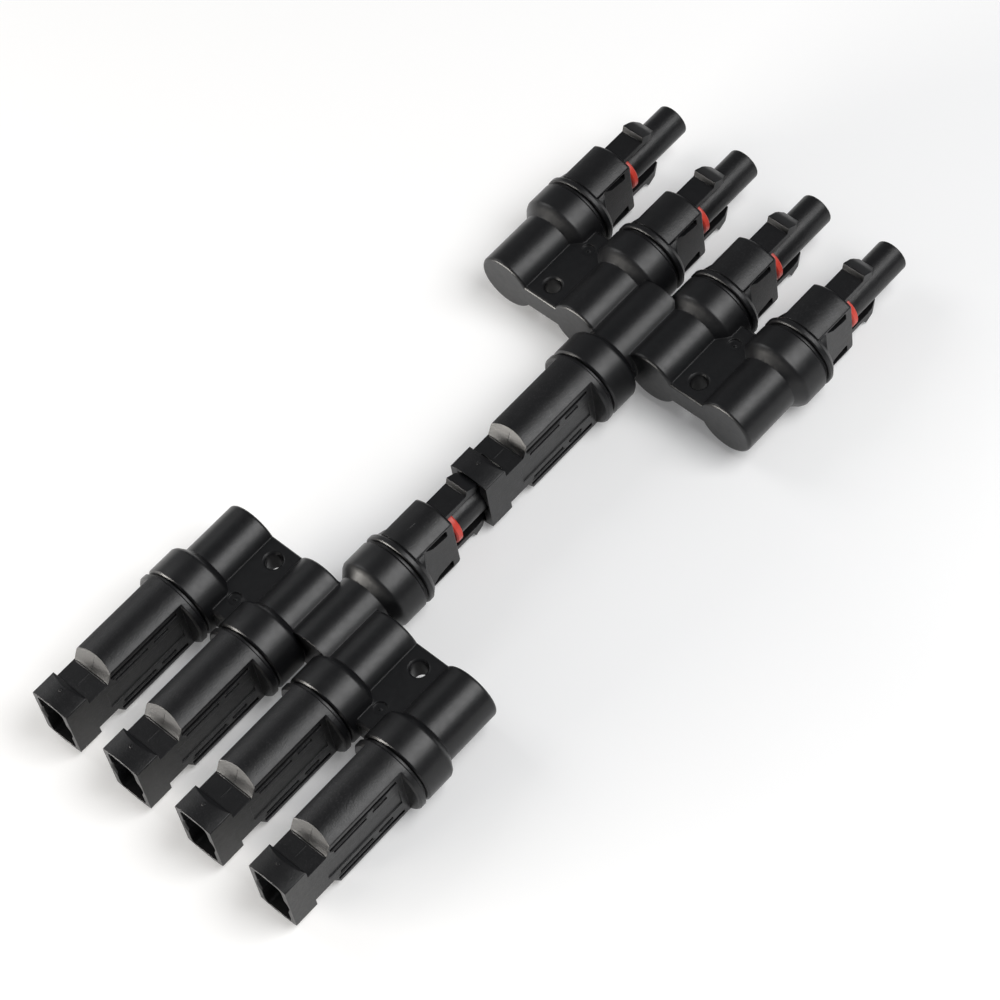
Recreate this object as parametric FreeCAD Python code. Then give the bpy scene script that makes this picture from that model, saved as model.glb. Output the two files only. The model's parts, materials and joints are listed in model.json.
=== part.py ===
import FreeCAD, Part
import math, os

# Pair of four-way solar branch connectors, one trunk part-plugged into the other.
# Millimetres. +X runs along the row of four ports, +Y along the trunk line, +Z up.
# Branch A (+Y side) carries four socket couplers and a pin coupler on its trunk.
# Branch B (-Y side) carries four pin couplers and a socket coupler on its trunk.
os.makedirs("parts", exist_ok=True)
V = FreeCAD.Vector

# ---------------------------------------------------------------- overall
PITCH = 24.0                      # port to port
PORTS = [(i - 1.5) * PITCH for i in range(4)]
Y_SHIFT = -5.2                   # puts the middle of the pair at the origin
MATE_GAP = 108.1                  # mouth plane of branch B ports to mouth plane of A trunk
Y_A = Y_SHIFT                     # mouth plane of the trunk coupler of branch A
Y_B = Y_SHIFT - MATE_GAP          # mouth plane of the four port couplers of branch B

# ---------------------------------------------------------------- shared couplings
R_FLANGE = 10.6
R_NECK = 9.5
R_TAIL = 7.0
TAIL = 7.8                        # coupler tail buried in the overmoulding
NECK = 0.9                        # visible gap between collar and flange
R_PIN = 2.0                       # 4 mm contact system
R_CONTACT = 2.9

# ---------------------------------------------------------------- pin-side coupler
M_W = 5.8                         # half width over the flat sides
M_BRIDGE = 6.95                   # length of the bridge behind the mouth
M_CROWN = 9.2                     # crown of the bridge
M_CORNER = 8.4                    # corner height of the bridge
M_FLOOR = 5.9                     # recessed floor behind the bridge
M_HALF = 13.3                     # foot of the half-moon face
M_SLOPE = 0.56                    # lean of that face, y per z
M_R = 10.6                        # half-cylinder radius
M_FL0, M_FL1 = 38.6, 40.7         # flange
M_BORE = 4.9
M_BORE_L = 26.8
M_MOUTH_W = 4.3                   # port mouth opening, half width and half height
M_MOUTH_Z = 8.3
M_SLOT_W = 3.5                    # finger slots of the trunk mouth, half width and half height
M_SLOT_Z = 8.2
PIN_TIP = 10.0

# ---------------------------------------------------------------- socket-side coupler
# u = 0 is the front face of the coupler body, the nose runs to +u
F_BODY = 12.4                     # body from flange to front face
F_FLANGE = 2.5
F_R = 10.35                       # crown radius
F_W = 5.8                         # half width over the flat sides
F_WIN = 1.3                       # depth of the side windows
NOSE_R = 4.53
NOSE_L = 23.0
NOSE_BORE = 2.9
SEAL_R0, SEAL_R1 = 4.3, 5.5
SEAL_U0, SEAL_U1 = 0.75, 2.85
F_BASE = -(F_BODY + F_FLANGE + NECK)      # rear end of the neck

# ---------------------------------------------------------------- latch finger
L_W = 3.3                         # half width
L_TIP_W = 2.2
L_T = 0.7                         # half thickness of the plate, radius of its root
L_HINGE_U, L_HINGE_Z = -2.5, 7.65
L_Z0, L_Z1 = L_HINGE_Z - L_T, L_HINGE_Z + L_T
L_TOP = 9.95                      # barb crest
L_REAR, L_MID, L_TIP = 7.45, 9.8, 13.2

# ---------------------------------------------------------------- overmoulded bodies
R_BODY = 8.0
R_COLLAR = 10.5
WEB_T = 3.75                      # half thickness of the webs
HOLE_R = 2.2
GATE_R = 1.75
GATE_D = 0.48
BAR_Z = 1.25
STUB_R = 2.5


def box(x0, x1, y0, y1, z0, z1):
    return Part.makeBox(x1 - x0, y1 - y0, z1 - z0, V(x0, y0, z0))


def cyl(r, y0, y1, x=0.0, z=0.0):
    return Part.makeCylinder(r, y1 - y0, V(x, y0, z), V(0, 1, 0))


def turned(profile, x=0.0):
    """Solid of revolution about a line parallel to Y from (radius, y) points."""
    pts = [V(r, y, 0) for r, y in profile]
    face = Part.Face(Part.makePolygon(pts + [pts[0]]))
    s = face.revolve(V(0, 0, 0), V(0, 1, 0), 360)
    s.translate(V(x, 0, 0))
    return s


def ring(r0, r1, y0, y1, x=0.0):
    return cyl(r1, y0, y1, x).cut(cyl(r0, y0 - 1, y1 + 1, x))


def prism_x(pts, x0, x1):
    """Extrude a (y, z) outline along X."""
    w = Part.makePolygon([V(x0, y, z) for y, z in pts] + [V(x0, pts[0][0], pts[0][1])])
    return Part.Face(w).extrude(V(x1 - x0, 0, 0))


def prism_z(pts, z0, z1):
    """Extrude an (x, y) outline along Z."""
    w = Part.makePolygon([V(x, y, z0) for x, y in pts] + [V(pts[0][0], pts[0][1], z0)])
    return Part.Face(w).extrude(V(0, 0, z1 - z0))


def crowned(w, zc, ztop, y0, y1):
    """Block with flat sides and crowned top and bottom."""
    a = Part.Arc(V(-w, y0, zc), V(0, y0, ztop), V(w, y0, zc)).toShape()
    b = Part.makeLine(V(w, y0, zc), V(w, y0, -zc))
    c = Part.Arc(V(w, y0, -zc), V(0, y0, -ztop), V(-w, y0, -zc)).toShape()
    d = Part.makeLine(V(-w, y0, -zc), V(-w, y0, zc))
    return Part.Face(Part.Wire([a, b, c, d])).extrude(V(0, y1 - y0, 0))


def soft(s, r, pick):
    """Round the picked edges, keep the plain shape when the rounding fails."""
    edges = [e for e in s.Edges if pick(e)]
    if not edges:
        return s
    try:
        t = s.makeFillet(r, edges)
        if t.isValid() and t.Volume > 0:
            return t
    except Exception:
        pass
    return s


def bevel(s, r, pick):
    edges = [e for e in s.Edges if pick(e)]
    if not edges:
        return s
    try:
        t = s.makeChamfer(r, edges)
        if t.isValid() and t.Volume > 0:
            return t
    except Exception:
        pass
    return s


def along_y(e):
    b = e.BoundBox
    return b.YLength > 1 and b.XLength < 0.01 and b.ZLength < 0.01


def flat_y(e, y):
    b = e.BoundBox
    return b.YLength < 0.01 and abs(b.YMin - y) < 0.01


def lean_cut(y0, z0, y1, z1):
    """Wedge that slopes an upper rear edge, and its mirror below."""
    a = prism_x([(y0 + 2, z0), (y0, z0), (y1, z1), (y1, 14), (y0 + 2, 14)], -12, 12)
    return [a, a.mirror(V(0, 0, 0), V(0, 0, 1))]


def put(name, shape, dx=0.0, dy=0.0):
    s = shape.copy()
    s.translate(V(dx, dy, 0))
    s = s.removeSplitter()
    if s.ShapeType == "Compound" and len(s.Solids) == 1:
        s = s.Solids[0]
    s.exportStep("parts/%s.step" % name)
    b = s.BoundBox
    print(name, s.isValid(), len(s.Solids), round(s.Volume, 1),
          [round(v, 2) for v in (b.XMin, b.XMax, b.YMin, b.YMax, b.ZMin, b.ZMax)])


# ================================================================ pin-side coupler
def pin_coupler(trunk=False):
    # bridge block behind the mouth
    bridge = crowned(M_W, M_CORNER, M_CROWN, 0, M_BRIDGE)
    bridge = soft(bridge, 0.35, lambda e: along_y(e))
    for c in lean_cut(M_BRIDGE, 8.3, M_BRIDGE - 1.5, 9.25):
        bridge = bridge.cut(c)
    # solid core under the recessed floors
    core = box(-M_W, M_W, M_BRIDGE - 1, M_HALF + 2, -M_FLOOR, M_FLOOR)
    # long half cylinders, cut flat on both sides
    barrel = cyl(M_R, M_FLOOR, M_FL0 + 0.5).common(box(-M_W, M_W, 0, 60, -12, 12))
    barrel = soft(barrel, 0.5, lambda e: along_y(e))
    z = M_FLOOR
    lean = prism_x([(0, -20), (M_HALF + (20 - z) * M_SLOPE, -20), (M_HALF, -z), (M_HALF, z),
                    (M_HALF + (20 - z) * M_SLOPE, 20), (0, 20)], -12, 12)
    barrel = barrel.cut(lean)
    flange = turned([(0, M_FL0), (R_FLANGE - 0.5, M_FL0), (R_FLANGE, M_FL0 + 0.5),
                     (R_FLANGE, M_FL1 - 0.3), (R_FLANGE - 0.3, M_FL1), (R_NECK, M_FL1),
                     (R_NECK, M_FL1 + NECK), (R_TAIL, M_FL1 + NECK),
                     (R_TAIL, M_FL1 + NECK + TAIL), (0, M_FL1 + NECK + TAIL)])
    s = bridge.fuse([core, barrel, flange])
    # shadow slots under the edges of the half cylinders, on both flat sides
    cuts = []
    for sx in (-1, 1):
        for sz in (-1, 1):
            x0, x1 = sorted((sx * 4.9, sx * 7.0))
            z0, z1 = sorted((sz * 6.5, sz * 7.7))
            cuts.append(box(x0, x1, 14.6, 37.0, z0, z1))
            z0, z1 = sorted((sz * 4.6, sz * 5.6))
            x0, x1 = sorted((sx * 5.3, sx * 7.0))
            cuts.append(box(x0, x1, 15.6, 26.5, z0, z1))
            cuts.append(box(x0, x1, 28.6, 33.4, z0, z1))
        # shallow relief of the side wall
        x0, x1 = sorted((sx * 5.5, sx * 7.0))
        cuts.append(box(x0, x1, 12.0, 37.0, -3.2, 3.2))
    # mouth: nose bore, finger slots through the bridge, lead-in
    cuts.append(cyl(M_BORE, -1, M_BORE_L))
    cuts.append(Part.makeCone(M_BORE + 0.35, M_BORE, 0.5, V(0, -0.01, 0), V(0, 1, 0)))
    if trunk:
        cuts.append(box(-M_SLOT_W, M_SLOT_W, -1, M_BRIDGE - 0.01, -M_FLOOR, M_FLOOR))
        for sz in (-1, 1):
            z0, z1 = sorted((sz * (M_FLOOR - 0.01), sz * M_SLOT_Z))
            cuts.append(box(-M_SLOT_W, M_SLOT_W, -1, M_BRIDGE + 1, z0, z1))
            # lead-in ramp from the slot up to the recessed floor
            cuts.append(prism_x([(M_BRIDGE - 1, sz * 4.6), (M_BRIDGE + 0.2, sz * 4.6),
                                 (M_BRIDGE + 1.6, sz * 6.2), (M_BRIDGE - 1, sz * 6.2)],
                                -M_SLOT_W, M_SLOT_W))
    else:
        mouth = soft(box(-M_MOUTH_W, M_MOUTH_W, -1, M_BRIDGE + 1, -M_MOUTH_Z, M_MOUTH_Z),
                     1.6, along_y)
        cuts.append(mouth.cut(box(-9, 9, M_BRIDGE - 0.02, M_BRIDGE + 2, -M_FLOOR, M_FLOOR)))
    # contact seat
    cuts.append(cyl(2.6, M_BORE_L - 1, 44.0))
    cuts.append(cyl(R_CONTACT, 44.0 - 0.01, 60))
    for c in cuts:
        s = s.cut(c)
    return s


def pin_contact():
    end = M_FL1 + NECK + TAIL
    tip = [(0, PIN_TIP)]
    for k in range(1, 7):
        a = math.radians(15 * k)
        tip.append((R_PIN * math.sin(a), PIN_TIP + 2.0 * (1 - math.cos(a))))
    return turned(tip + [(R_PIN, M_BORE_L), (2.6, M_BORE_L), (2.6, 44.0), (R_CONTACT, 44.0),
                         (R_CONTACT, end), (0, end)])


# ================================================================ socket-side coupler
def socket_coupler():
    r_e = 1.0
    body = cyl(F_R, -F_BODY - 0.5, 0)
    body = soft(body, r_e, lambda e: flat_y(e, 0))
    body = body.common(box(-F_W, F_W, -30, 5, -12, 12))
    body = soft(body, 0.5, along_y)
    f0 = F_BASE + NECK
    flange = turned([(0, F_BASE - TAIL), (R_TAIL, F_BASE - TAIL), (R_TAIL, F_BASE),
                     (R_NECK, F_BASE), (R_NECK, f0), (R_FLANGE - 0.3, f0), (R_FLANGE, f0 + 0.3),
                     (R_FLANGE, f0 + 1.3), (R_FLANGE - 0.9, f0 + F_FLANGE), (0, f0 + F_FLANGE)])
    g = 0.35
    nose = turned([(0, -1), (NOSE_R, -1), (NOSE_R, SEAL_U0), (SEAL_R0, SEAL_U0),
                   (SEAL_R0, SEAL_U1), (NOSE_R, SEAL_U1), (NOSE_R, NOSE_L - g),
                   (NOSE_R - 0.1, NOSE_L - 0.1), (NOSE_R - g, NOSE_L), (0, NOSE_L)])
    s = body.fuse([flange, nose])
    # the flat sides flare out into the flange
    y = f0 + F_FLANGE
    flare = prism_z([(-F_W - 2.2, y - 0.6), (-F_W - 2.2, y), (-F_W, y + 2.2), (F_W, y + 2.2),
                     (F_W + 2.2, y), (F_W + 2.2, y - 0.6)], -10, 10)
    s = s.fuse(flare.common(cyl(F_R - 0.6, y - 1, y + 4)))
    cuts = []
    for sx in (-1, 1):
        # slender window under each edge of the crown, tapering towards the flange
        x0, x1 = sorted((sx * (F_W - F_WIN), sx * 9))
        for sz in (-1, 1):
            cuts.append(prism_x([(-9.6, sz * 8.1), (-9.6, sz * 7.7), (-7.4, sz * 6.2),
                                 (-2.9, sz * 5.5), (-2.4, sz * 5.8), (-2.4, sz * 7.7),
                                 (-2.9, sz * 8.1)], x0, x1))
    for sz in (-1, 1):
        # pocket for the root of the latch finger, with room for its swing
        cuts.append(prism_x([(L_HINGE_U, sz * (L_Z0 - 0.12)), (2, sz * (L_Z0 - 0.5)),
                             (2, sz * (L_Z1 + 0.25)), (L_HINGE_U, sz * (L_Z1 + 0.12))],
                            -L_W - 0.2, L_W + 0.2))
        cuts.append(Part.makeCylinder(L_T + 0.12, 2 * L_W + 0.4,
                                      V(-L_W - 0.2, L_HINGE_U, sz * L_HINGE_Z), V(1, 0, 0)))
    cuts.append(cyl(R_CONTACT, F_BASE - TAIL - 1, NOSE_L - 3.2))
    cuts.append(cyl(2.6, NOSE_L - 4, NOSE_L + 1))
    cuts.append(Part.makeCone(2.6, 3.1, 0.6, V(0, NOSE_L - 0.58, 0), V(0, 1, 0)))
    for c in cuts:
        s = s.cut(c)
    return s


def socket_contact():
    """Slotted spring tube that takes a 4 mm pin."""
    e0 = F_BASE - TAIL
    e1 = NOSE_L - 3.3
    s = turned([(0, e0), (R_CONTACT, e0), (R_CONTACT, 3.0), (2.7, 3.4), (2.7, e1 - 0.4),
                (2.5, e1), (2.3, e1), (2.3, 2.0), (0, 2.0)])
    for a in (0, 90):
        t = box(-0.25, 0.25, 9.0, e1 + 1, -4, 4)
        t.rotate(V(0, 0, 0), V(0, 1, 0), a + 45)
        s = s.cut(t)
    return s


def latch_finger(sz):
    """Flexing arm with a ramped barb; sz = +1 upper, -1 lower."""
    side = [(L_HINGE_U, L_Z0), (L_MID - 1.0, L_Z0), (L_MID + 1.8, L_Z0 - 0.6),
            (L_TIP, L_Z0 - 0.7), (L_TIP, L_Z0 - 0.2), (L_TIP - 0.35, L_Z0 + 0.25),
            (L_MID + 1.7, L_Z1 + 0.05), (L_REAR + 0.85, L_TOP), (L_REAR + 0.55, L_TOP),
            (L_REAR, L_Z1), (L_HINGE_U, L_Z1)]
    s = prism_x(side, -L_W, L_W)
    s = s.fuse(Part.makeCylinder(L_T, 2 * L_W, V(-L_W, L_HINGE_U, L_HINGE_Z), V(1, 0, 0)))
    plan = prism_z([(-L_W, -6), (L_W, -6), (L_W, L_MID + 0.9), (L_TIP_W, L_TIP),
                    (L_TIP_W, L_TIP + 1), (-L_TIP_W, L_TIP + 1), (-L_TIP_W, L_TIP),
                    (-L_W, L_MID + 0.9)], 0, 12)
    s = s.common(plan)
    if sz < 0:
        s = s.mirror(V(0, 0, 0), V(0, 0, 1))
    return s


def seal_ring():
    c = 0.4
    return turned([(SEAL_R0, SEAL_U0), (SEAL_R1 - c, SEAL_U0), (SEAL_R1, SEAL_U0 + c),
                   (SEAL_R1, SEAL_U1 - c), (SEAL_R1 - c, SEAL_U1), (SEAL_R0, SEAL_U1)])


# ================================================================ overmoulded branch body
def collar(x, y0, y1, open_end, c_rear=1.6, c_front=0.5):
    """Raised grip ring; open_end = +1 when its coupler leaves toward +Y."""
    if open_end > 0:
        p = [(0, y0), (R_BODY, y0), (R_COLLAR - 0.4, y0 + c_rear), (R_COLLAR, y0 + c_rear + 0.8),
             (R_COLLAR, y1 - c_front), (R_COLLAR - c_front, y1), (0, y1)]
    else:
        p = [(0, y0), (R_COLLAR - c_front, y0), (R_COLLAR, y0 + c_front),
             (R_COLLAR, y1 - c_rear - 0.8), (R_COLLAR - 0.4, y1 - c_rear), (R_BODY, y1), (0, y1)]
    return turned(p, x)


def branch_body(lo, hi, port_dir, port_collar, trunk_collar, web, hole_y, gate_y):
    """lo..hi: port cylinders; port_dir: side the ports leave to."""
    y_in = lo if port_dir > 0 else hi
    y_web = web[1] if port_dir > 0 else web[0]
    s = box(-PITCH / 2, PITCH / 2, lo, hi, -WEB_T - 1.6, WEB_T + 1.6)
    s = s.fuse([cyl(R_BODY, lo, hi, x) for x in PORTS + [0]])
    for sx in (-1, 1):
        x0, x1 = sorted((sx * PITCH * 0.5, sx * PITCH * 1.5))
        w = box(x0, x1, web[0], web[1], -WEB_T, WEB_T)
        s = s.fuse(bevel(w, 0.8, lambda e: flat_y(e, y_web) and e.BoundBox.XLength > 5))
    s = s.removeSplitter()
    s = soft(s, 1.5, lambda e: along_y(e) and abs(abs(e.BoundBox.ZMin)) < R_BODY - 0.05
             and abs(e.BoundBox.XMin) < 1.5 * PITCH + R_BODY - 0.05)
    s = soft(s, 0.9, lambda e: flat_y(e, y_in) and e.BoundBox.DiagonalLength > 0.5)
    # the trunk runs on from the free end into its collar
    mid = (trunk_collar[0] + trunk_collar[1]) / 2
    y0, y1 = sorted((mid, (lo + hi) / 2))
    s = s.fuse(cyl(R_BODY, y0, y1, 0))
    rear = (2.35, 1.6) if port_dir > 0 else (1.6, 2.35)
    for x in PORTS:
        s = s.fuse(collar(x, port_collar[0], port_collar[1], port_dir, rear[0]))
    s = s.fuse(collar(0, trunk_collar[0], trunk_collar[1], -port_dir, rear[1]))
    for sx in (-1, 1):
        s = s.cut(Part.makeCylinder(HOLE_R, 20, V(sx * PITCH, hole_y, -10), V(0, 0, 1)))
        for sz in (-1, 1):
            s = s.cut(Part.makeCone(HOLE_R, HOLE_R + 0.5, 0.51,
                                    V(sx * PITCH, hole_y, sz * (WEB_T - 0.5)), V(0, 0, sz)))
            # moulding gate: shallow round dimple with a nub left in its middle
            base = V(sx * PITCH, gate_y, sz * (WEB_T - GATE_D))
            s = s.cut(Part.makeCylinder(GATE_R, 1.0, base, V(0, 0, sz)))
            base = V(sx * PITCH, gate_y, sz * (WEB_T - GATE_D - 0.2))
            s = s.fuse(Part.makeCylinder(0.45, 0.55, base, V(0, 0, sz)))
    return s


def bus(y0, y1, stubs):
    """Flat bar across the ports with a round stub to each contact: (x, ya, yb)."""
    s = box(-PORTS[3] - 3.2, PORTS[3] + 3.2, y0, y1, -BAR_Z, BAR_Z)
    for x, ya, yb in stubs:
        s = s.fuse(cyl(STUB_R, ya, yb, x))
    return s.removeSplitter()


# ---------------------------------------------------------------- shared pieces
pin_c = pin_coupler()
pin_c_trunk = pin_coupler(trunk=True)
pin_m = pin_contact()
soc_c = socket_coupler()
soc_m = socket_contact()
fin_u = latch_finger(1)
fin_l = latch_finger(-1)
seal = seal_ring()
TAIL_END = M_FL1 + NECK + TAIL

# ================================================================ branch A
A_T_COL = (M_FL1 + NECK, 51.2)                # trunk collar, from the mouth plane
A_LO, A_HI = 52.6, 71.5
A_COL = (69.8, 79.7)
A_FRONT = A_COL[1] - F_BASE                   # front face of the socket couplers
A_BAR = (61.6, 67.6)
a_tail = A_COL[1] - TAIL
a_stubs = [(x, A_BAR[0], a_tail) for x in PORTS] + [(0, TAIL_END, A_BAR[1])]
a_bar = bus(A_BAR[0], A_BAR[1], a_stubs)
a_body = branch_body(A_LO, A_HI, 1, A_COL, A_T_COL, (A_LO, 77.5), 57.7, 71.5)
for x in PORTS:
    a_body = a_body.cut(cyl(R_TAIL, a_tail, A_COL[1] + 1, x))
a_body = a_body.cut(cyl(R_TAIL, A_T_COL[0] - 1, TAIL_END)).cut(a_bar)
put("a_body", a_body, 0, Y_A)
put("a_busbar", a_bar, 0, Y_A)
put("a_trunk_housing", pin_c_trunk, 0, Y_A)
put("a_trunk_pin", pin_m, 0, Y_A)
for i, x in enumerate(PORTS, 1):
    y = Y_A + A_FRONT
    put("a_port%d_housing" % i, soc_c, x, y)
    put("a_port%d_socket" % i, soc_m, x, y)
    put("a_port%d_seal" % i, seal, x, y)
    put("a_port%d_latch_upper" % i, fin_u, x, y)
    put("a_port%d_latch_lower" % i, fin_l, x, y)

# ================================================================ branch B
B_COL = (M_FL1 + NECK, 51.9)
B_LO, B_HI = 51.0, 68.4
B_T_COL = (70.1, 80.4)
B_FRONT = B_T_COL[1] - F_BASE
B_BAR = (52.6, 58.6)
b_tail = B_T_COL[1] - TAIL
b_stubs = [(x, TAIL_END, B_BAR[1]) for x in PORTS] + [(0, B_BAR[0], b_tail)]
b_bar = bus(B_BAR[0], B_BAR[1], b_stubs)
b_body = branch_body(B_LO, B_HI, -1, B_COL, B_T_COL, (43.6, B_HI), 63.3, 49.9)
for x in PORTS:
    b_body = b_body.cut(cyl(R_TAIL, B_COL[0] - 1, TAIL_END, x))
b_body = b_body.cut(cyl(R_TAIL, b_tail, B_T_COL[1] + 1)).cut(b_bar)
put("b_body", b_body, 0, Y_B)
put("b_busbar", b_bar, 0, Y_B)
for i, x in enumerate(PORTS, 1):
    put("b_port%d_housing" % i, pin_c, x, Y_B)
    put("b_port%d_pin" % i, pin_m, x, Y_B)
y = Y_B + B_FRONT
put("b_trunk_housing", soc_c, 0, y)
put("b_trunk_socket", soc_m, 0, y)
put("b_trunk_seal", seal, 0, y)
put("b_trunk_latch_upper", fin_u, 0, y)
put("b_trunk_latch_lower", fin_l, 0, y)
print("A front face", Y_A + A_FRONT, "B front face", y, "nose tip", y + NOSE_L)
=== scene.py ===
import json
import math

import bmesh
import bpy
from mathutils import Matrix, Vector


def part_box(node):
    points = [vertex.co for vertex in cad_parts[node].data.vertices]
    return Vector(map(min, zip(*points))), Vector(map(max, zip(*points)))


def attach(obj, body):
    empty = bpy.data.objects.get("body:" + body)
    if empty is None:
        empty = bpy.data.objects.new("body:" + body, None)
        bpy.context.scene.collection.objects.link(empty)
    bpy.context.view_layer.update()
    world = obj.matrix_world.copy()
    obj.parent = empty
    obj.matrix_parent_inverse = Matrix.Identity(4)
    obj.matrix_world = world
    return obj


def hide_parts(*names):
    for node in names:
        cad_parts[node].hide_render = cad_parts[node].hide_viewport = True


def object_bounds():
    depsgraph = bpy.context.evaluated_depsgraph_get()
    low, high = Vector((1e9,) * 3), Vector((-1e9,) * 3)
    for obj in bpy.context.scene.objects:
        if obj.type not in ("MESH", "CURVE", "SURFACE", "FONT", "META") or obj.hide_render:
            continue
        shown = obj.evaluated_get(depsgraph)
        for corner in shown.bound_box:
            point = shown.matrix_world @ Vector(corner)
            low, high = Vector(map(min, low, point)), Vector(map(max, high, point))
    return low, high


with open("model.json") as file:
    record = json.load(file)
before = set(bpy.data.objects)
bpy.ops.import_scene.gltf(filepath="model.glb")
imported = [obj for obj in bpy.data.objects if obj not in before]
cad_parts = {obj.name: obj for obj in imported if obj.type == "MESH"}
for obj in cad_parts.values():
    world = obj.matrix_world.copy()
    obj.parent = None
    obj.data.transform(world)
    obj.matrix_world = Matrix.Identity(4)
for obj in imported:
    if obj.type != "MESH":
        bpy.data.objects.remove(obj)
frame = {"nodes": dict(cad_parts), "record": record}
CAD_BOX = [list(map(float, p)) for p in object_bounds()]
NODES = frame["nodes"]
RECORD = frame["record"]
SLOT = {part["node"]: part["material_slot"] for part in RECORD["subparts"]}
BODY = {node: body for body, nodes in RECORD["behaviour"]["bodies"].items()
        for node in nodes}

MM = 0.001
FLOOR_LEVEL = CAD_BOX[0][2]


# ------------------------------------------------------------------ shader helper
def colour(value):
    """A grey level or an (r, g, b) triple as a socket colour."""
    if isinstance(value, (int, float)):
        value = (value, value, value)
    return (*value, 1.0)


class Nodes:
    """A new material, with calls that add shader nodes and link them."""

    def __init__(self, name):
        self.mat = bpy.data.materials.new(name)
        self.mat.use_nodes = True
        self.tree = self.mat.node_tree
        self.bsdf = self.tree.nodes["Principled BSDF"]
        self.coord = self.add("ShaderNodeTexCoord").outputs["Object"]

    def add(self, kind, **props):
        node = self.tree.nodes.new(kind)
        for key, val in props.items():
            setattr(node, key, val)
        return node

    def link(self, output, socket):
        self.tree.links.new(output, socket)

    def set(self, socket, value):
        self.bsdf.inputs[socket].default_value = value

    def drive(self, socket, output):
        self.link(output, self.bsdf.inputs[socket])

    def noise(self, scale, detail=2.0, rough=0.5, stretch=None):
        src = self.coord
        if stretch:
            mapping = self.add("ShaderNodeMapping")
            mapping.inputs["Scale"].default_value = stretch
            self.link(src, mapping.inputs["Vector"])
            src = mapping.outputs["Vector"]
        noise = self.add("ShaderNodeTexNoise")
        noise.inputs["Scale"].default_value = scale
        noise.inputs["Detail"].default_value = detail
        noise.inputs["Roughness"].default_value = rough
        self.link(src, noise.inputs["Vector"])
        return noise.outputs["Fac"]

    def ramp(self, src, stops):
        """Grey ramp through (position, level) stops."""
        node = self.add("ShaderNodeValToRGB")
        elements = node.color_ramp.elements
        for element, (pos, level) in zip((elements[0], elements[1]), (stops[0], stops[-1])):
            element.position, element.color = pos, colour(level)
        for pos, level in stops[1:-1]:
            elements.new(pos).color = colour(level)
        self.link(src, node.inputs["Fac"])
        return node.outputs["Color"]

    def math(self, op, a, b):
        node = self.add("ShaderNodeMath", operation=op)
        for socket, value in zip(node.inputs, (a, b)):
            if isinstance(value, (int, float)):
                socket.default_value = value
            else:
                self.link(value, socket)
        return node.outputs["Value"]

    def blend_colour(self, factor, first, second):
        """Base colour that goes from first to second with factor."""
        mix = self.add("ShaderNodeMix", data_type="RGBA")
        fac_in, a_in, b_in, colour_out = 0, 6, 7, 2    # the RGBA sockets of the node
        mix.inputs[a_in].default_value = colour(first)
        mix.inputs[b_in].default_value = colour(second)
        self.link(factor, mix.inputs[fac_in])
        self.drive("Base Color", mix.outputs[colour_out])

    def scuff_mark(self, centre, turn, size):
        """One ragged rubbed streak: an ellipsoid at centre, turned about Z."""
        mapping = self.add("ShaderNodeMapping", vector_type="TEXTURE")
        mapping.inputs["Location"].default_value = centre
        mapping.inputs["Rotation"].default_value = (0, 0, turn)
        mapping.inputs["Scale"].default_value = size
        self.link(self.coord, mapping.inputs["Vector"])
        length = self.add("ShaderNodeVectorMath", operation="LENGTH")
        self.link(mapping.outputs["Vector"], length.inputs[0])
        ragged = self.math("MULTIPLY", self.noise(1400.0, 4.0, 0.75), 1.5)
        distance = self.math("ADD", length.outputs["Value"], ragged)
        return self.ramp(distance, [(0.0, 1.0), (0.75, 0.9), (0.98, 0.0)])

    def bump(self, height, strength, distance, normal=None):
        node = self.add("ShaderNodeBump")
        node.inputs["Strength"].default_value = strength
        node.inputs["Distance"].default_value = distance
        self.link(height, node.inputs["Height"])
        if normal is not None:
            self.link(normal, node.inputs["Normal"])
        return node.outputs["Normal"]


# ------------------------------------------------------------------ materials
# noise scales of the moulded plastic, per metre
FINE_GRAIN, COARSE_GRAIN, RUBBED_PATCHES, FLOW_MARKS, SPECKS = 2600.0, 620.0, 60.0, 420.0, 2100.0
FLOW_STRETCH = (1.0, 0.12, 1.0)
FINE_DEPTH, COARSE_DEPTH, COARSE_SHARE = 0.00011, 0.00012, 0.35
COARSE_GLOSS, FLOW_GLOSS = 0.16, 0.06
PLASTIC_SPECULAR = 0.42


def black_plastic(name, base, worn, rough, grain, scuff, rounding, mark=None):
    """Moulded black plastic: fine grain, faint flow marks, rubbed patches.

    grain is the strength of the grain, scuff how much the pale specks show,
    rounding the radius of shaded edges, mark one scuff (centre, turn, size)."""
    m = Nodes(name)
    fine = m.noise(FINE_GRAIN, 2.0, 0.6)
    coarse = m.noise(COARSE_GRAIN, 3.0, 0.55)
    broad = m.noise(RUBBED_PATCHES, 3.0, 0.5)
    flow = m.noise(FLOW_MARKS, 2.0, 0.6, FLOW_STRETCH)
    # rubbed patches carry more of the pale specks
    patch = m.ramp(broad, [(0.40, 0.0), (0.66, 1.0)])
    specks = m.ramp(m.noise(SPECKS, 3.0, 0.7), [(0.55, 0.0), (0.75, 1.0)])
    wear = m.math("MULTIPLY", m.math("MULTIPLY", patch, specks), scuff)
    if mark:
        wear = m.math("MAXIMUM", wear, m.scuff_mark(*mark))
    m.blend_colour(wear, base, worn)
    gloss = m.math("ADD", m.math("MULTIPLY", coarse, COARSE_GLOSS),
                   rough - COARSE_GLOSS / 2)
    gloss = m.math("ADD", gloss, m.math("MULTIPLY", flow, FLOW_GLOSS))
    m.drive("Roughness", gloss)
    edge = m.add("ShaderNodeBevel", samples=4)
    edge.inputs["Radius"].default_value = rounding
    normal = m.bump(coarse, grain * COARSE_SHARE, COARSE_DEPTH, edge.outputs["Normal"])
    m.drive("Normal", m.bump(fine, grain, FINE_DEPTH, normal))
    m.set("Specular IOR Level", PLASTIC_SPECULAR)
    return m.mat


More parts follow.
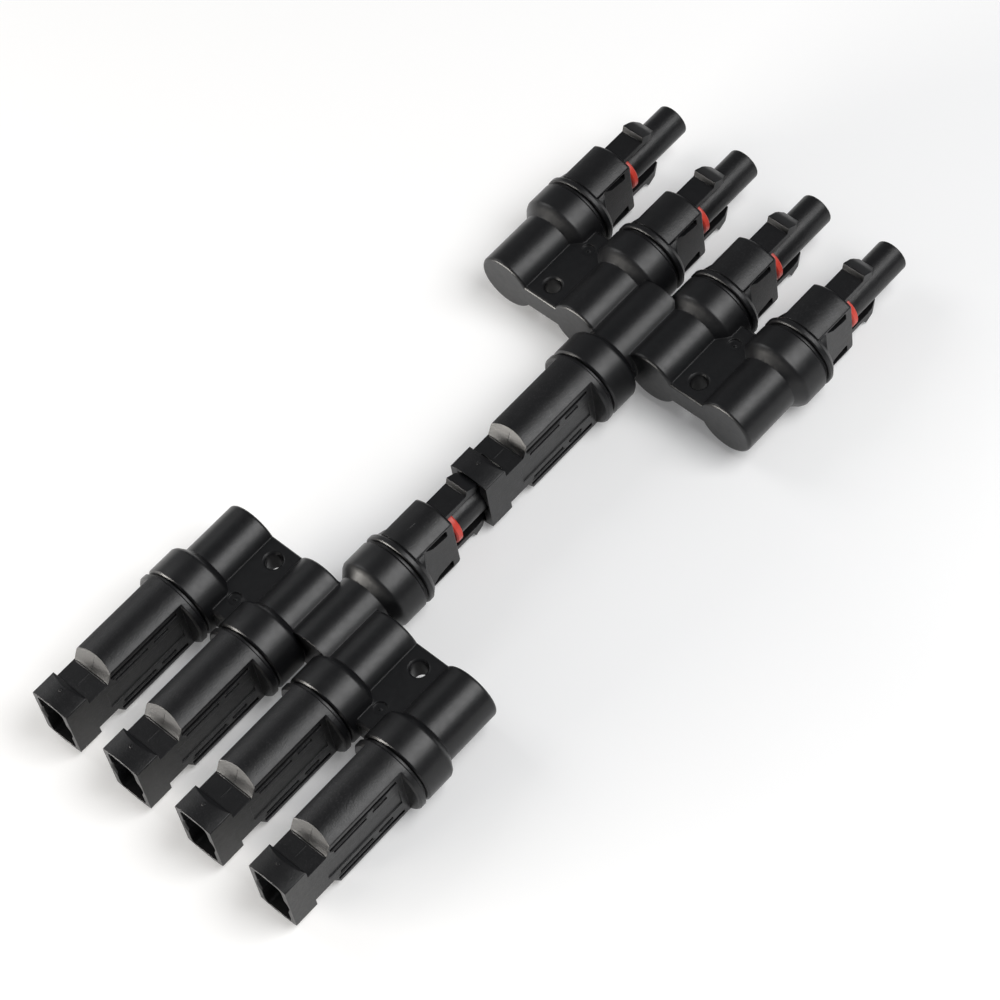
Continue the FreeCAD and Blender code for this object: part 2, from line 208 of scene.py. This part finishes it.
def seal_rubber():
    """Smooth red-orange silicone with slight colour variation."""
    m = Nodes("seal_rubber_look")
    clouds = m.noise(500.0, 2.0, 0.5)
    m.blend_colour(clouds, (0.56, 0.035, 0.022), (0.70, 0.065, 0.04))
    m.drive("Roughness", m.math("ADD", m.math("MULTIPLY", clouds, 0.15), 0.33))
    m.drive("Normal", m.bump(m.noise(1800.0, 2.0), 0.15, 0.00004))
    m.set("Subsurface Weight", 0.05)
    m.set("Subsurface Radius", (0.002, 0.0005, 0.0003))
    return m.mat


def metal(name, bright, dull, rough):
    """Turned and plated metal: fine rings across its length and dull patches."""
    m = Nodes(name)
    rings = m.noise(900.0, 2.0, 0.5, (0.02, 1.0, 0.02))
    patches = m.noise(240.0, 3.0, 0.6)
    m.blend_colour(patches, bright, dull)
    m.set("Metallic", 1.0)
    m.drive("Roughness", m.math("ADD", m.math("MULTIPLY", patches, 0.2), rough - 0.1))
    m.drive("Normal", m.bump(rings, 0.25, 0.00004))
    return m.mat


OVERMOULD_BLACK = (0.0045, 0.0046, 0.0052)
COUPLER_BLACK = (0.0048, 0.0048, 0.0054)
# rubbed streak on the crown of the trunk coupler of branch B: centre, turn, half sizes
SCUFF = ((-0.0005, -0.0244, 0.0104), math.radians(-7.0), (0.0006, 0.0042, 0.004))

# by material slot, or by node where one node has a look of its own
LOOK = {
    "overmould": black_plastic("overmould_look", OVERMOULD_BLACK, (0.03, 0.03, 0.032),
                               0.33, 0.10, 0.25, 0.00035),
    "coupler_plastic": black_plastic("coupler_look", COUPLER_BLACK, (0.045, 0.045, 0.048),
                                     0.33, 0.45, 0.6, 0.0002),
    "latch_plastic": black_plastic("latch_look", COUPLER_BLACK, (0.05, 0.05, 0.052),
                                   0.34, 0.15, 0.5, 0.0002),
    "seal_rubber": seal_rubber(),
    "contact_metal": metal("contact_look", (0.62, 0.61, 0.58), (0.78, 0.77, 0.74), 0.28),
    "b_trunk_housing": black_plastic("coupler_scuffed_look", COUPLER_BLACK,
                                     (0.22, 0.22, 0.225), 0.33, 0.3, 0.1, 0.0002, SCUFF),
    "busbar_copper": metal("busbar_look", (0.60, 0.30, 0.17), (0.72, 0.40, 0.24), 0.32),
}


# ------------------------------------------------------------------ refined copies
SAME_POINT = 2e-6                    # CAD vertices closer than this are one
FLAT = math.radians(0.6)             # faces that meet flatter than this are one
MANY_SIDED = 12                      # faces with more corners are split again
HARD_EDGE = math.radians(28.0)       # edges sharper than this are rounded


def new_object(name, mesh):
    obj = bpy.data.objects.new(name, mesh)
    bpy.context.scene.collection.objects.link(obj)
    return obj


def finish_piece(obj, mesh, node):
    """Give a piece the finish and the body of its CAD node."""
    mesh.materials.clear()
    mesh.materials.append(LOOK.get(node, LOOK[SLOT[node]]))
    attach(obj, BODY[node])


def refined(node, width, segments):
    """A moulded copy of a CAD node: clean faces, every hard edge rounded."""
    src = NODES[node]
    mesh = bpy.data.meshes.new(node + "_skin")
    bm = bmesh.new()
    bm.from_mesh(src.data)
    bm.transform(src.matrix_world)
    bmesh.ops.remove_doubles(bm, verts=bm.verts, dist=SAME_POINT)
    bmesh.ops.dissolve_limit(bm, angle_limit=FLAT, verts=bm.verts, edges=bm.edges)
    # large flat faces with windows in them are split again, so none folds over
    bmesh.ops.triangulate(bm, faces=[f for f in bm.faces if len(f.verts) > MANY_SIDED])
    bmesh.ops.recalc_face_normals(bm, faces=bm.faces)
    bm.to_mesh(mesh)
    bm.free()
    obj = new_object(node + "_skin", mesh)
    for face in mesh.polygons:
        face.use_smooth = True
    mesh.set_sharp_from_angle(angle=HARD_EDGE)
    bevel = obj.modifiers.new("round", "BEVEL")
    bevel.width = width
    bevel.segments = segments
    bevel.limit_method = "ANGLE"
    bevel.angle_limit = HARD_EDGE
    bevel.use_clamp_overlap = True
    bevel.harden_normals = False
    bevel.miter_outer = "MITER_ARC"
    split = obj.modifiers.new("split", "TRIANGULATE")
    split.min_vertices = 5
    even = obj.modifiers.new("even", "WEIGHTED_NORMAL")
    even.keep_sharp = False
    even.weight = 80
    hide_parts(node)
    finish_piece(obj, mesh, node)


# ------------------------------------------------------------------ moulding marks
BEAD_ENDS = ((0.0, 0.15), (0.04, 0.8), (0.1, 1.0), (0.9, 1.0), (0.96, 0.8), (1.0, 0.15))
BEAD_ARC = 8                         # steps round the half circle of a bead
BEAD_SINK = 0.03                     # mm that a bead's flat side lies under the surface
NUB_PROFILE = ((1.0, -0.06), (1.0, 0.5), (0.86, 1.0), (0.66, 0.95), (0.5, 0.35), (0.2, 0.3))
NUB_SIDES = 24


def smooth_piece(name, bm, node):
    """Make a closed, smooth piece of a bmesh, in the finish of a CAD node."""
    bmesh.ops.recalc_face_normals(bm, faces=bm.faces)
    for face in bm.faces:
        face.smooth = True
    mesh = bpy.data.meshes.new(name)
    bm.to_mesh(mesh)
    bm.free()
    finish_piece(new_object(name, mesh), mesh, node)


def bead(name, node, start, end, half_width, height, across, up):
    """Half-round raised line from start to end, ends drawn down to nothing."""
    a, b = Vector(start) * MM, Vector(end) * MM
    across, up = Vector(across).normalized(), Vector(up).normalized()
    bm = bmesh.new()
    rows = []
    for along, swell in BEAD_ENDS:
        centre = a.lerp(b, along) - up * BEAD_SINK * MM
        row = []
        for step in range(BEAD_ARC + 1):
            turn = math.pi * step / BEAD_ARC
            row.append(bm.verts.new(
                centre + across * (math.cos(turn) * half_width * swell * MM)
                + up * (math.sin(turn) * (height + BEAD_SINK) * swell * MM)))
        rows.append(row)
    for r0, r1 in zip(rows, rows[1:]):
        for step in range(BEAD_ARC):
            bm.faces.new((r0[step], r0[step + 1], r1[step + 1], r1[step]))
        bm.faces.new((r0[BEAD_ARC], r0[0], r1[0], r1[BEAD_ARC]))
    bm.faces.new(rows[0][::-1])
    bm.faces.new(rows[-1])
    smooth_piece(name, bm, node)


def nub(name, node, at, radius, height, up):
    """Low round moulding mark with a raised rim."""
    up = Vector(up).normalized()
    side = up.orthogonal().normalized()
    other = up.cross(side)
    turns = [math.tau * step / NUB_SIDES for step in range(NUB_SIDES)]
    bm = bmesh.new()
    rings = []
    for reach, rise in NUB_PROFILE:
        rings.append([bm.verts.new(
            Vector(at) * MM
            + (side * math.cos(turn) + other * math.sin(turn)) * radius * reach * MM
            + up * height * rise * MM) for turn in turns])
    for r0, r1 in zip(rings, rings[1:]):
        for step in range(NUB_SIDES):
            after = (step + 1) % NUB_SIDES
            bm.faces.new((r0[step], r0[after], r1[after], r1[step]))
    bm.faces.new(rings[-1])
    bm.faces.new(rings[0][::-1])
    smooth_piece(name, bm, node)


# ------------------------------------------------------------------ the CAD pieces
BODY_EDGE, HOUSING_EDGE, LATCH_EDGE = 0.25 * MM, 0.12 * MM, 0.14 * MM

for node in sorted(NODES):
    if node.endswith("_body"):
        refined(node, BODY_EDGE, 3)
    elif node.endswith("_housing"):
        refined(node, HOUSING_EDGE, 2)
    elif "_latch_" in node:
        refined(node, LATCH_EDGE, 2)
    else:
        data = NODES[node].data
        data.materials.clear()
        data.materials.append(LOOK[SLOT[node]])
        for face in data.polygons:
            face.material_index = 0

# moulding marks on the pin-side couplers, in mm from the axis and the mouth
FLOOR_Z, CROWN_Z, RIB_Z = 5.9, 9.2, 5.95       # recessed floor, bridge top, side ribs
BRIDGE_Y, MOON_Y = 6.95, 13.3                  # rear of the bridge, foot of the half-moon
FLAT_X, LIP_X = 5.8, 5.5                       # flat sides, half length of the lip
LEAN = 0.56                                    # lean of the half-moon face, y per z
RIBS = ((14.8, 27.2), (29.0, 33.2))            # ends of the two ribs in a row
SIDES = ((1, "right"), (-1, "left"))

for node in sorted(n for n in NODES if n.endswith("_housing")
                   and (n.startswith("b_port") or n == "a_trunk_housing")):
    lo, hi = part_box(node)
    x = (lo[0] + hi[0]) / 2 / MM
    y = lo[1] / MM
    for s, tag in ((1, "upper"), (-1, "lower")):
        up = (0, 0, s)
        bead("%s_floor_seam_%s" % (node, tag), node,
             (x, y + BRIDGE_Y + 1.7, s * FLOOR_Z), (x, y + MOON_Y - 0.4, s * FLOOR_Z),
             0.14, 0.05, (1, 0, 0), up)
        bead("%s_lip_%s" % (node, tag), node,
             (x - LIP_X, y + MOON_Y - 0.1, s * FLOOR_Z),
             (x + LIP_X, y + MOON_Y - 0.1, s * FLOOR_Z),
             0.22, 0.16, (0, 1, 0), up)
        bead("%s_moon_seam_%s" % (node, tag), node,
             (x, y + MOON_Y + 0.5 * LEAN, s * (FLOOR_Z + 0.5)),
             (x, y + MOON_Y + 4.2 * LEAN, s * (FLOOR_Z + 4.2)),
             0.1, 0.04, (1, 0, 0), (0, -1, s * LEAN))
        for sx, side in SIDES:
            for k, (r0, r1) in enumerate(RIBS, 1):
                bead("%s_rib%d_%s_%s" % (node, k, tag, side), node,
                     (x + sx * FLAT_X, y + r0, s * RIB_Z),
                     (x + sx * FLAT_X, y + r1, s * RIB_Z),
                     0.24, 0.16, (0, 0, 1), (sx, 0, 0.35 * s))
        nub("%s_gate_%s" % (node, tag), node,
            (x - 0.4, y + BRIDGE_Y - 2.5, s * CROWN_Z), 0.5, 0.12, up)


# ------------------------------------------------------------------ floor and light
def stage_material():
    m = Nodes("floor_look")
    m.set("Base Color", (0.86, 0.86, 0.86, 1))
    m.set("Roughness", 0.9)
    m.set("Emission Color", (1, 1, 1, 1))
    m.set("Emission Strength", 0.15)
    m.drive("Normal", m.bump(m.noise(300.0, 2.0), 0.02, 0.0001))
    return m.mat


bpy.ops.mesh.primitive_plane_add(size=6.0, location=(0, 0, FLOOR_LEVEL))
floor = bpy.context.object
floor.name = "floor"
floor.data.materials.append(stage_material())


def area(name, at, to, size, power, tint=(1, 1, 1)):
    """Rectangular light at one point, facing another."""
    data = bpy.data.lights.new(name, "AREA")
    data.shape = "RECTANGLE"
    data.size, data.size_y = size
    data.energy = power
    data.color = tint
    lamp = new_object(name, data)
    lamp.location = at
    lamp.rotation_euler = (Vector(to) - Vector(at)).to_track_quat("-Z", "Y").to_euler()


area("key", (0.45, 0.25, 0.75), (0, 0, 0), (0.6, 0.6), 6.5)
area("fill_left", (-0.9, -0.1, 0.6), (0, 0, 0), (0.5, 0.6), 2.2)
area("low_front", (-0.34, -0.70, 0.075), (0, 0, 0.01), (0.6, 0.13), 14.0, (1, 0.96, 0.90))

world = bpy.data.worlds.new("studio")
world.use_nodes = True
background = world.node_tree.nodes["Background"]
background.inputs["Color"].default_value = (0.8, 0.82, 0.85, 1)
background.inputs["Strength"].default_value = 0.2
bpy.context.scene.world = world

# ------------------------------------------------------------------ camera
# it looks down from the +X, -Y side, a little rolled
AZIMUTH, ELEVATION, ROLL = math.radians(51.87), math.radians(57.28), math.radians(11.88)
DISTANCE = 0.7982
TARGET = Vector((0.00615, -0.00183, 0.0))
LENS_PER_WIDTH = 3.2826
SENSOR_WIDTH = 36.0

toward = Vector((math.sin(AZIMUTH) * math.cos(ELEVATION),
                 -math.cos(AZIMUTH) * math.cos(ELEVATION), math.sin(ELEVATION)))
level_right = Vector((math.cos(AZIMUTH), math.sin(AZIMUTH), 0.0))
level_up = toward.cross(level_right)
cam_right = level_right * math.cos(ROLL) - level_up * math.sin(ROLL)
cam_up = level_right * math.sin(ROLL) + level_up * math.cos(ROLL)
turned = Matrix((cam_right, cam_up, toward)).transposed()

cam_data = bpy.data.cameras.new("camera")
cam_data.sensor_width = SENSOR_WIDTH
cam_data.lens = SENSOR_WIDTH * LENS_PER_WIDTH
cam_data.clip_start = 0.01
camera = new_object("camera", cam_data)
camera.matrix_world = Matrix.Translation(TARGET + toward * DISTANCE) @ turned.to_4x4()
bpy.context.scene.camera = camera
bpy.context.scene.view_settings.view_transform = "Standard"
